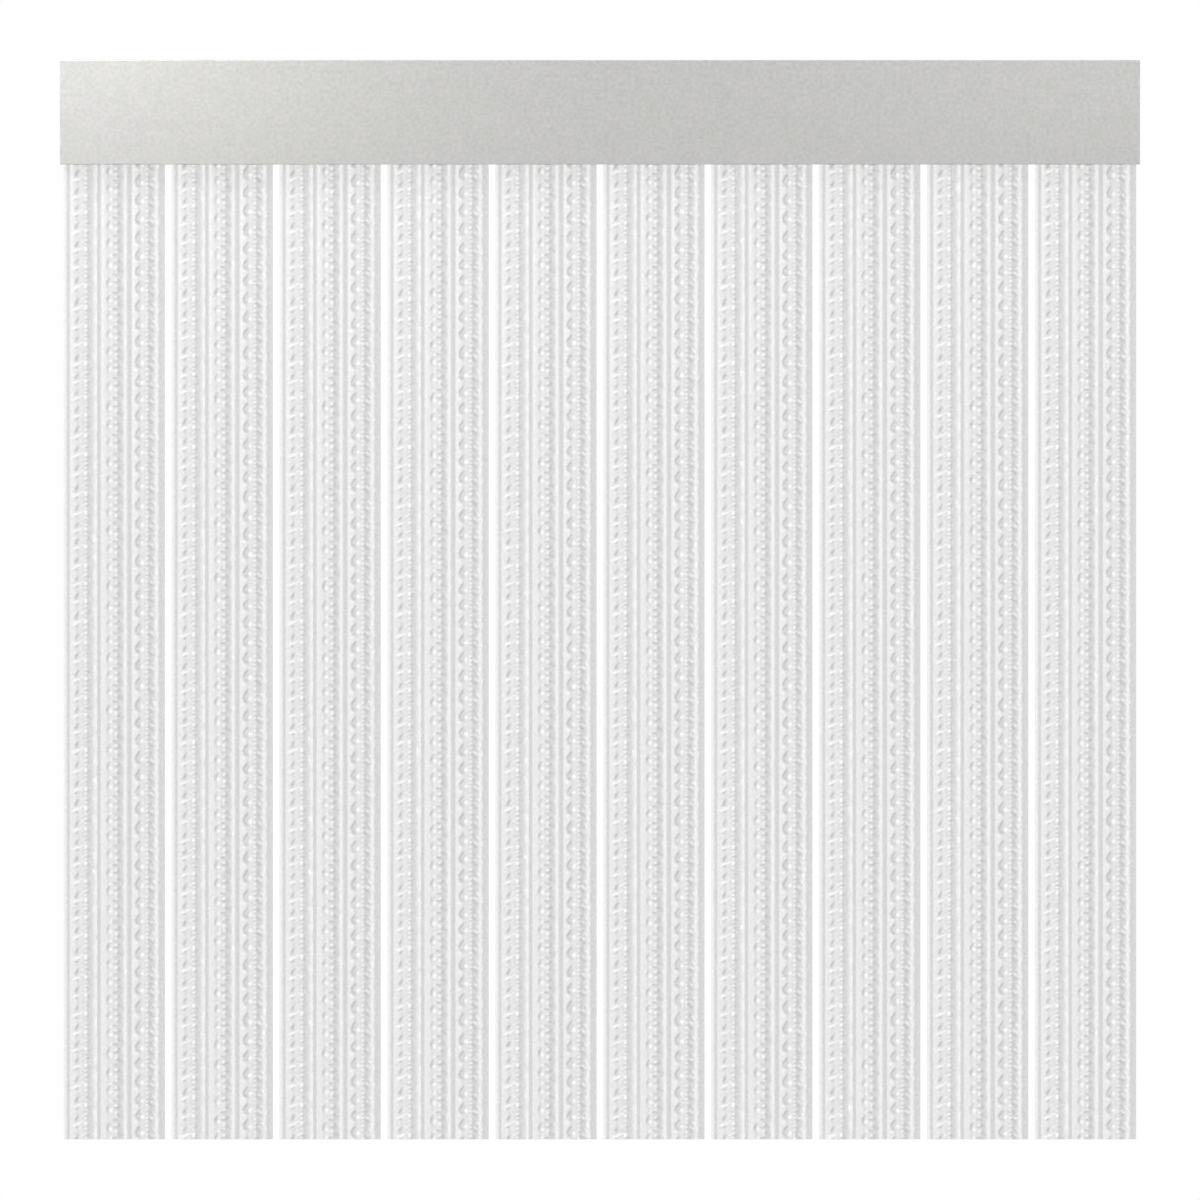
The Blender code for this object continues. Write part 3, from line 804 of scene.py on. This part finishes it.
@dataclass
class RopedRib:
    """The shape of a roped rib and its painted light, all in one piece.

    It is a crowned bar with a smooth cord along its left, a groove that swings beside the cord, and a row of
    soft beads.

    Attributes:
        width: Full width of the rib.
        half_thickness: Half its thickness in the middle.
        web_half: Half the thickness of the web that it stands on.
        groove_share: The groove's middle, as a share of the half width, as are all places and widths here.
        groove_swing_share: How far the groove swings as the beads swell and narrow.
        groove_half_width_share: Half the groove's width.
        groove_depth: Its depth.
        bead_share: The middle of the beads.
        bead_half_width_share: Half their width.
        bead_dip: How far the rib dips between two beads.
        lay_share: How much the pattern slants, in repeats for half the width.
        press_run: Length over which the clamp has pressed the pattern smooth.
        wobbles: The slow strays of the pattern along the rib, each with its length, its size in repeats and
            its turn from one rib to the next in radians.
        painted_light_shares: Places across the rib and its painted light there, with painted highlights and
            painted shade.
        web_tone: The tone of the webs and selvedges.
        fade_share: How much the glints vary from repeat to repeat.
        fade_pace: How fast the first glint varies, in radians for a repeat.
        fade_pace_step: How much faster each further glint varies, so that no two vary together.
    """

    width: float = 21.6 * MM
    half_thickness: float = 3.6 * MM
    web_half: float = 1.2 * MM
    groove_share: float = -0.48
    groove_swing_share: float = 0.07
    groove_half_width_share: float = 0.24
    groove_depth: float = 0.35 * MM
    bead_share: float = 0.15
    bead_half_width_share: float = 0.55
    bead_dip: float = 0.3 * MM
    lay_share: float = 0.3
    press_run: float = 12 * MM
    wobbles: tuple[tuple[float, float, float], ...] = ((137 * MM, 0.1, 2.0), (54.8 * MM, 0.05, 3.0))
    painted_light_shares: tuple[tuple[float, float], ...] = (
        (-1.10, 0.30),
        (-1.00, 0.76),
        (-0.90, 0.92),
        (-0.80, 0.80),
        (-0.65, 0.68),
        (-0.45, 0.47),
        (-0.20, 0.64),
        (0.00, 0.48),
        (0.15, 0.36),
        (0.32, 0.24),
        (0.50, 0.30),
        (0.60, 0.38),
        (0.70, 0.56),
        (0.80, 0.72),
        (0.90, 0.72),
        (1.00, 0.46),
        (1.10, 0.25),
    )
    web_tone: float = 0.29
    fade_share: float = 0.3
    fade_pace: float = 1.9
    fade_pace_step: float = 1 / 7

    def turns(self, look: RibLook, along: np.ndarray) -> np.ndarray:
        """Works out how many repeats of the pattern lie above places on the rib, strays included.

        Args:
            look: The rib's look.
            along: Distances below the clamp.

        Returns:
            Places down the rib, in repeats.
        """
        turns = along / look.repeat + look.start
        for length, size, step in self.wobbles:
            turns += size * np.sin(2 * math.pi * along / length + step * look.place)
        return turns

    def height(self, share: np.ndarray, turns: np.ndarray, along: np.ndarray, face: Face) -> np.ndarray:
        """Works out a face of the rib.

        Args:
            share: Places across the rib, as shares of its half width.
            turns: Places down the rib, in repeats.
            along: Distances below the clamp.
            face: The face that is wanted. Where the front has a bead, the back dips.

        Returns:
            Distances from the strip's middle plane.
        """
        crown = np.clip(1 - share**2, 0, 1)
        start = math.pi if face is Face.BACK else 0
        wave = np.cos(2 * math.pi * (turns + self.lay_share * share) + start)
        middle = self.groove_share - self.groove_swing_share * wave
        groove = bell((share - middle) / self.groove_half_width_share)
        beads = bell((share - self.bead_share) / self.bead_half_width_share)
        press = 1 - bell(np.clip(along, 0, self.press_run) / self.press_run)
        pattern = groove * self.groove_depth + beads * self.bead_dip * (1 - wave) / 2
        return self.web_half + crown * (self.half_thickness - self.web_half - press * pattern)

    def tone(self, look: RibLook, share: np.ndarray, turns: np.ndarray) -> np.ndarray:
        """Works out the painted light: the painted highlights and painted shade that stand in for the rib's
        reflections.

        Args:
            look: The rib's look.
            share: Places across the rib, as shares of its half width.
            turns: Places down the rib, in repeats.

        Returns:
            The tone at each place, from 0 to 1.
        """
        places, painted_light_tones = zip(*self.painted_light_shares)
        tone = np.interp(share, places, painted_light_tones)
        for number, painted_glint in enumerate(look.painted_glints):
            pace = self.fade_pace + number * self.fade_pace_step
            fade = 1 + self.fade_share * np.sin(turns * pace + number)
            tone += fade * painted_glint.at(share, turns)
        return np.clip(tone, 0, 1)


@dataclass
class CurtainStrip:
    """A strip's fine mesh: three roped ribs, the webs between them, smooth selvedges and the tab on top.

    Attributes:
        width: Full width of the strip.
        tab_top: Height of the tab's upper end, inside the hanger.
        top: Height at which the ribs begin, just below the hanger.
        bottom: Height of the strip's lower end.
        looks: The ribs.
        shift: How far down the whole pattern is moved, in repeats.
        rib: The shape and tone that all ribs share.
        edge_highlight_gains: How much brighter the left and right selvedges' edges are, where the rollers thinned them.
        edge_highlight_runs: The distances over which that fades.
        rib_pitch: Distance between the ribs' centre lines.
        selvedge_round: Radius of the selvedge's outer edges.
        round_shares: Places of the mesh columns across that radius.
        rib_columns: Mesh columns across a rib.
        foot_share: The mesh columns just outside a rib, as a share of its half width.
        row_step: Wanted distance between mesh rows.
        shoulder: Height of the cut ends of the ribs.
        end_normal: How steeply up or down a face at an end must look to count as cut, as a part of 1.
        sharp_angle: The angle in degrees from which an edge is sharp.
    """

    width: float
    tab_top: float
    top: float
    bottom: float
    looks: tuple[RibLook, ...] = (LEFT_RIB, MIDDLE_RIB, RIGHT_RIB)
    shift: float = 0.0
    rib: RopedRib = field(default_factory=RopedRib)
    # edge_highlight_gains: The painted highlight along the left and right selvedges' edges: how much brighter
    # they are painted.
    edge_highlight_gains: tuple[float, float] = (0.68, 0.3)
    edge_highlight_runs: tuple[float, float] = (3.8 * MM, 1.2 * MM)
    rib_pitch: float = 25.8 * MM
    selvedge_round: float = 0.8 * MM
    round_shares: tuple[float, ...] = (0.0, 0.08, 0.3, 0.62, 1.0)
    rib_columns: int = 18
    foot_share: float = 1.1
    row_step: float = 1.25 * MM
    shoulder: float = 0.05 * MM
    end_normal: float = 0.9
    sharp_angle: float = 60.0

    def columns(self) -> list[float]:
        """Works out the mesh columns.

        Returns:
            Their places across the strip, from its left edge to its right one.
        """
        edge = self.width / 2
        half_rib = self.rib.width / 2
        left = [-edge + share * self.selvedge_round for share in self.round_shares]
        left += [-edge + (edge - self.rib_pitch - half_rib) / 2 + self.selvedge_round / 2]
        ribs = []
        for look in self.looks:
            for step in range(self.rib_columns + 1):
                share = 2 * step / self.rib_columns - 1
                ribs.append(look.place * self.rib_pitch + share * half_rib)
            foot = self.foot_share * half_rib
            ribs += [look.place * self.rib_pitch - foot, look.place * self.rib_pitch + foot]
        ribs.sort()
        return left + ribs + [-x for x in reversed(left)]

    def rows(self) -> list[float]:
        """Works out the mesh rows.

        Returns:
            Their heights: the tab's two, then those of the ribs, down to the lower end.
        """
        count = round((self.top - self.bottom) / self.row_step)
        ribs = [self.top + (self.bottom - self.top) * step / count for step in range(count + 1)]
        return [self.tab_top, self.top + self.shoulder] + ribs

    def face_heights(self, across: np.ndarray, down: np.ndarray, face: Face) -> np.ndarray:
        """Works out a face of the strip.

        Args:
            across: Distances from the strip's middle line.
            down: Heights.
            face: The face that is wanted.

        Returns:
            Distances from the strip's middle plane.
        """
        height = np.full_like(across, self.rib.web_half)
        below = down < self.top + self.shoulder / 2
        for look in self.looks:
            share = (across - look.place * self.rib_pitch) / (self.rib.width / 2)
            near = below & (np.abs(share) <= 1)
            along = self.top - down[near]
            turns = self.rib.turns(look, along) + self.shift
            height[near] = self.rib.height(share[near], turns, along, face)
        inset = np.clip((self.width / 2 - np.abs(across)) / self.selvedge_round, 0, 1)
        rounded = self.rib.web_half - self.selvedge_round * (1 - np.sqrt(1 - (1 - inset) ** 2))
        return np.where(inset < 1, rounded, height)

    def painted_light_tones(self, across: np.ndarray, down: np.ndarray) -> np.ndarray:
        """Works out the painted light: the ribs' painted highlights and shade, and painted highlights along
        the selvedges' edges.

        Args:
            across: Distances from the strip's middle line.
            down: Heights.

        Returns:
            The tone at each place, from 0 to 1.
        """
        tone = np.full_like(across, self.rib.web_tone)
        reach = self.rib.painted_light_shares[-1][0]
        for look in self.looks:
            share = (across - look.place * self.rib_pitch) / (self.rib.width / 2)
            near = np.abs(share) < reach
            turns = self.rib.turns(look, self.top - down[near]) + self.shift
            tone[near] = self.rib.tone(look, share[near], turns)
        # Painted highlights along both selvedges' edges
        for side, gain, run in zip((-1, 1), self.edge_highlight_gains, self.edge_highlight_runs):
            tone += gain * bell((side * across - self.width / 2) / run)
        return np.clip(tone, 0, 1)

    def build(self, name: str) -> bpy.types.Mesh:
        """Builds the strip about its own middle plane: a grid and its copy behind, moved into the section.

        Args:
            name: The mesh's name.

        Returns:
            A closed mesh, centred on x = 0 and y = 0, whose cut ends have the second material.
        """
        columns, rows = np.array(self.columns()), np.array(self.rows())
        shape = bmesh.new()
        bmesh.ops.create_grid(shape, x_segments=len(columns) - 1, y_segments=len(rows) - 1, size=1.0)
        back = bmesh.ops.extrude_face_region(shape, geom=shape.faces[:])["geom"]
        moved = [v for v in back if isinstance(v, bmesh.types.BMVert)]
        bmesh.ops.translate(shape, verts=moved, vec=(0, 0, 1))
        mesh = bpy.data.meshes.new(name)
        shape.to_mesh(mesh)
        shape.free()
        points = np.empty(len(mesh.vertices) * 3)
        mesh.vertices.foreach_get("co", points)
        points = points.reshape(-1, 3)
        # The grid runs from -1 to 1 both ways, which gives each vertex its column and row
        across = columns[np.rint((points[:, 0] + 1) / 2 * (len(columns) - 1)).astype(int)]
        down = rows[np.rint((1 - points[:, 1]) / 2 * (len(rows) - 1)).astype(int)]
        front = self.face_heights(across, down, Face.FRONT) * Face.FRONT.value
        behind = self.face_heights(across, down, Face.BACK) * Face.BACK.value
        depth = np.where(points[:, 2] > 0.5, behind, front)
        mesh.vertices.foreach_set("co", np.stack([across, depth, down], axis=1).ravel())
        # The attribute holds painted light: painted highlights and painted shade for the material
        layer = mesh.attributes.new("tone", "FLOAT", "POINT")
        layer.data.foreach_set("value", self.painted_light_tones(across, down).astype(np.float32))
        self.finish(mesh)
        return mesh

    def finish(self, mesh: bpy.types.Mesh) -> None:
        """Turns the faces outwards, smooths them and gives the cut ends the second material.

        Args:
            mesh: The strip's mesh.
        """
        shape = bmesh.new()
        shape.from_mesh(mesh)
        bmesh.ops.recalc_face_normals(shape, faces=shape.faces)
        for face in shape.faces:
            middle = face.calc_center_median().z
            at_end = middle > self.top - self.shoulder or middle < self.bottom + self.shoulder
            if at_end and abs(face.normal.z) > self.end_normal:
                face.material_index = 1
        shape.to_mesh(mesh)
        shape.free()
        mesh.shade_smooth()
        mesh.set_sharp_from_angle(angle=math.radians(self.sharp_angle))


@dataclass
class StripCurtain:
    """All the strips, each of which replaces its plain solid and rides on its own swinging body.

    Attributes:
        count: The number of strips.
        seat: Distance between a hanger's lower edge and the cut tops of the ribs below it.
        even_shift: How far down every second strip's pattern is moved, in repeats, so that neighbours differ.
        pvc: The strips' finish.
        cut_end: The finish of their cut ends.
    """

    count: int = 10
    seat: float = 0.3 * MM
    even_shift: float = 0.4
    pvc: ClearSoftPvc = field(default_factory=ClearSoftPvc)
    cut_end: CutPvcEnd = field(default_factory=CutPvcEnd)

    def dress(self) -> None:
        """Builds the strips in the places of their solids."""
        finishes = [self.pvc.make(), self.cut_end.make()]
        low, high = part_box("strip_01")
        rib_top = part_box("hanger_01")[0].z - self.seat
        sizes = (high.x - low.x, high.z, rib_top, low.z)
        even = CurtainStrip(*sizes, shift=self.even_shift).build("strip_even")
        odd = CurtainStrip(*sizes).build("strip_odd")
        for number in range(1, self.count + 1):
            node = f"strip_{number:02d}"
            low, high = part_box(node)
            mesh = (odd if number % 2 else even).copy()
            mesh.transform(Matrix.Translation(((low.x + high.x) / 2, (low.y + high.y) / 2, 0)))
            for finish in finishes:
                mesh.materials.append(finish)
            piece = bpy.data.objects.new(f"roped_{node}", mesh)
            bpy.context.scene.collection.objects.link(piece)
            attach(piece, f"strip_unit_{number:02d}")
            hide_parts(node)
            LOG.info("%s: %d faces", piece.name, len(mesh.polygons))


@dataclass
class Header:
    """The header's own pieces and the hangers, which keep their solids and get their finishes.

    Attributes:
        nodes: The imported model's nodes by name.
        satin: Finish of what shows from outside: the fascia and the end caps.
        mill: Finish of the extrusions inside.
        white: Finish of the hangers, stud plates and spacers.
        zinc: Finish of the screws.
    """

    nodes: dict[str, bpy.types.Object]
    satin: SatinAnodisedAluminium = field(default_factory=SatinAnodisedAluminium)
    mill: MillFinishAluminium = field(default_factory=MillFinishAluminium)
    white: RigidWhitePvc = field(default_factory=RigidWhitePvc)
    zinc: ZincPlatedSteel = field(default_factory=ZincPlatedSteel)

    def dress(self) -> None:
        """Gives every carried-over solid its finish."""
        families = (
            (self.satin.make(), ("front_fascia", "end_cap")),
            (self.mill.make(), ("wall_channel", "carrier_rail")),
            (self.white.make(), ("spacer", "hanger", "stud_plate")),
            (self.zinc.make(), ("rail_screw", "cap_screw")),
        )
        for name, node in self.nodes.items():
            for finish, starts in families:
                if name.startswith(starts):
                    node.data.materials.clear()
                    node.data.materials.append(finish)
                    LOG.info("%s: %s", name, finish.name)


@dataclass(frozen=True)
class Softbox:
    """A square soft lamp.

    Attributes:
        name: The lamp's name.
        place: Where it stands.
        target: The point that it faces.
        size: Its side.
        power: Its power in watts.
        spread: How wide it shines, in degrees, narrower behind a honeycomb.
    """

    name: str
    place: tuple[float, float, float]
    target: tuple[float, float, float]
    size: float
    power: float
    spread: float = 180.0

    def build(self) -> None:
        """Sets the lamp up."""
        light = bpy.data.lights.new(self.name, "AREA")
        light.shape = "SQUARE"
        light.size = self.size
        light.energy = self.power
        light.spread = math.radians(self.spread)
        lamp = bpy.data.objects.new(self.name, light)
        lamp.location = self.place
        way = Vector(self.target) - Vector(self.place)
        lamp.rotation_euler = way.to_track_quat("-Z", "Y").to_euler()
        bpy.context.scene.collection.objects.link(lamp)


@dataclass
class Studio:
    """Plain pale studio: white surroundings, soft lamps, a floor that keeps the shadow, and the camera.

    Attributes:
        frame_height: Height of the camera's view at the curtain.
        lens: The camera's focal length in millimetres.
        sensor: Its sensor's width in millimetres.
        sight_share: How far it sees, as a multiple of its distance from the curtain.
        floor_drop: How far below the curtain the floor lies.
        floor_side: The floor's side.
        floor_paint: The floor's finish.
        surround: The surroundings' strength, as light on the object.
        dim: Their strength far off the line of sight, as clear plastic bends it into view.
        dim_range: The share of a direction off that line over which they dim.
        sun_strength: Strength of the broad light from the left.
        sun_spread: Its angle in degrees.
        sun_way: The way that it shines.
        softboxes: The lamps: two narrow ones high before the header's ends, and a broad one from above.
    """

    frame_height: float = 1000 * MM
    lens: float = 1500.0
    sensor: float = 36.0
    sight_share: float = 4.0
    floor_drop: float = 250 * MM
    floor_side: float = 18.0
    floor_paint: StudioFloorPaint = field(default_factory=StudioFloorPaint)
    surround: float = 0.85
    dim: float = 0.83
    dim_range: tuple[float, float] = (0.2, 0.6)
    sun_strength: float = 0.3
    sun_spread: float = 20.0
    sun_way: tuple[float, float, float] = (0.68, 0.73, -0.17)
    softboxes: tuple[Softbox, ...] = (
        Softbox("left_softbox", (-0.9, -0.8, 0.55), (-0.4, 0.0, 0.17), 0.4, 2.0, 50.0),
        Softbox("right_softbox", (0.85, -1.0, 0.55), (0.3, 0.0, 0.17), 0.4, 0.55, 50.0),
        Softbox("top_softbox", (-1.2, -2.829, 2.7935), (0.0, -0.029, -0.4065), 2.4, 50.0),
    )

    def surroundings(self) -> None:
        """Sets the world: even light, white to the camera and metal, and dimmed at the sides to plastic."""
        world = bpy.data.worlds.new("studio_world")
        bpy.context.scene.world = world
        world.use_nodes = True
        tree = world.node_tree
        tree.nodes.clear()
        output = tree.nodes.new("ShaderNodeOutputWorld")
        way = add_node(tree, "ShaderNodeTexCoord").outputs["Generated"]
        parts = add_node(tree, "ShaderNodeSeparateXYZ", links={0: way})
        near_end, far_end = self.dim_range
        dimmed = []
        for axis in ("X", "Z"):
            off = add_node(
                tree,
                "ShaderNodeMath",
                {"operation": "ABSOLUTE"},
                links={0: parts.outputs[axis]},
            )
            side = add_node(
                tree,
                "ShaderNodeMapRange",
                {"interpolation_type": "SMOOTHSTEP"},
                {"From Min": near_end, "From Max": far_end, "To Min": 1.0, "To Max": self.dim},
                {"Value": off.outputs["Value"]},
            )
            dimmed.append(side.outputs["Result"])
        bent = add_node(
            tree,
            "ShaderNodeMath",
            {"operation": "MULTIPLY"},
            links={0: dimmed[0], 1: dimmed[1]},
        )
        plain = add_node(
            tree,
            "ShaderNodeMapRange",
            values={"To Min": self.surround, "To Max": 1.0},
            links={"Value": rays_seen(tree)},
        )
        through = add_node(tree, "ShaderNodeLightPath").outputs["Is Transmission Ray"]
        strength = add_node(
            tree,
            "ShaderNodeMix",
            links={"Factor": through, "A": plain.outputs["Result"], "B": bent.outputs["Value"]},
        )
        back = add_node(
            tree,
            "ShaderNodeBackground",
            values={"Color": linear("ffffff")},
            links={"Strength": strength.outputs["Result"]},
        )
        tree.links.new(back.outputs["Background"], output.inputs["Surface"])

    def broad_light(self) -> None:
        """Adds the broad, level light from the left, so that the header throws no shadow on the strips."""
        light = bpy.data.lights.new("left_window", "SUN")
        light.energy = self.sun_strength
        light.angle = math.radians(self.sun_spread)
        lamp = bpy.data.objects.new("left_window", light)
        lamp.rotation_euler = Vector(self.sun_way).to_track_quat("-Z", "Y").to_euler()
        bpy.context.scene.collection.objects.link(lamp)

    def floor(self, lowest: float) -> None:
        """Lays the floor below the curtain.

        Args:
            lowest: The curtain's lowest height.
        """
        shape = bmesh.new()
        bmesh.ops.create_grid(shape, x_segments=1, y_segments=1, size=self.floor_side / 2)
        bmesh.ops.translate(shape, verts=shape.verts, vec=(0, 0, lowest - self.floor_drop))
        mesh = bpy.data.meshes.new("studio_floor")
        shape.to_mesh(mesh)
        shape.free()
        mesh.materials.append(self.floor_paint.make())
        floor = bpy.data.objects.new("studio_floor", mesh)
        bpy.context.scene.collection.objects.link(floor)
        floor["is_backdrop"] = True

    def camera(self, low: Vector, high: Vector) -> None:
        """Sets the long-lens camera before the front.

        It stands level with the header's lower edge, from where it doesn't see into the header.

        Args:
            low: The object's lowest corner.
            high: The object's highest corner.
        """
        data = bpy.data.cameras.new("front_camera")
        data.lens = self.lens
        data.sensor_width = self.sensor
        distance = self.frame_height * self.lens / self.sensor
        data.clip_end = self.sight_share * distance
        camera = bpy.data.objects.new("front_camera", data)
        camera.location = ((low.x + high.x) / 2, low.y - distance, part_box("front_fascia")[0].z)
        way = Vector(((low.x + high.x) / 2, low.y, (low.z + high.z) / 2)) - camera.location
        camera.rotation_euler = way.to_track_quat("-Z", "Y").to_euler()
        bpy.context.scene.collection.objects.link(camera)
        bpy.context.scene.camera = camera

    def build(self, low: Vector, high: Vector) -> None:
        """Sets up the whole studio around the object's box.

        Args:
            low: The object's lowest corner.
            high: The object's highest corner.
        """
        self.surroundings()
        self.broad_light()
        self.floor(low.z)
        for softbox in self.softboxes:
            softbox.build()
        self.camera(low, high)
        bpy.context.scene.view_settings.view_transform = "Standard"
        LOG.info("studio: %d softboxes, floor and camera", len(self.softboxes))


def main() -> None:
    """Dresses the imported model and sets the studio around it."""
    logging.basicConfig(level=logging.INFO, format="%(message)s")
    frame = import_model()
    solid_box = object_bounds()
    Header(frame["nodes"]).dress()
    StripCurtain().dress()
    low, high = (Vector(corner) for corner in solid_box)
    Studio().build(low, high)


if __name__ == "__main__":
    main()
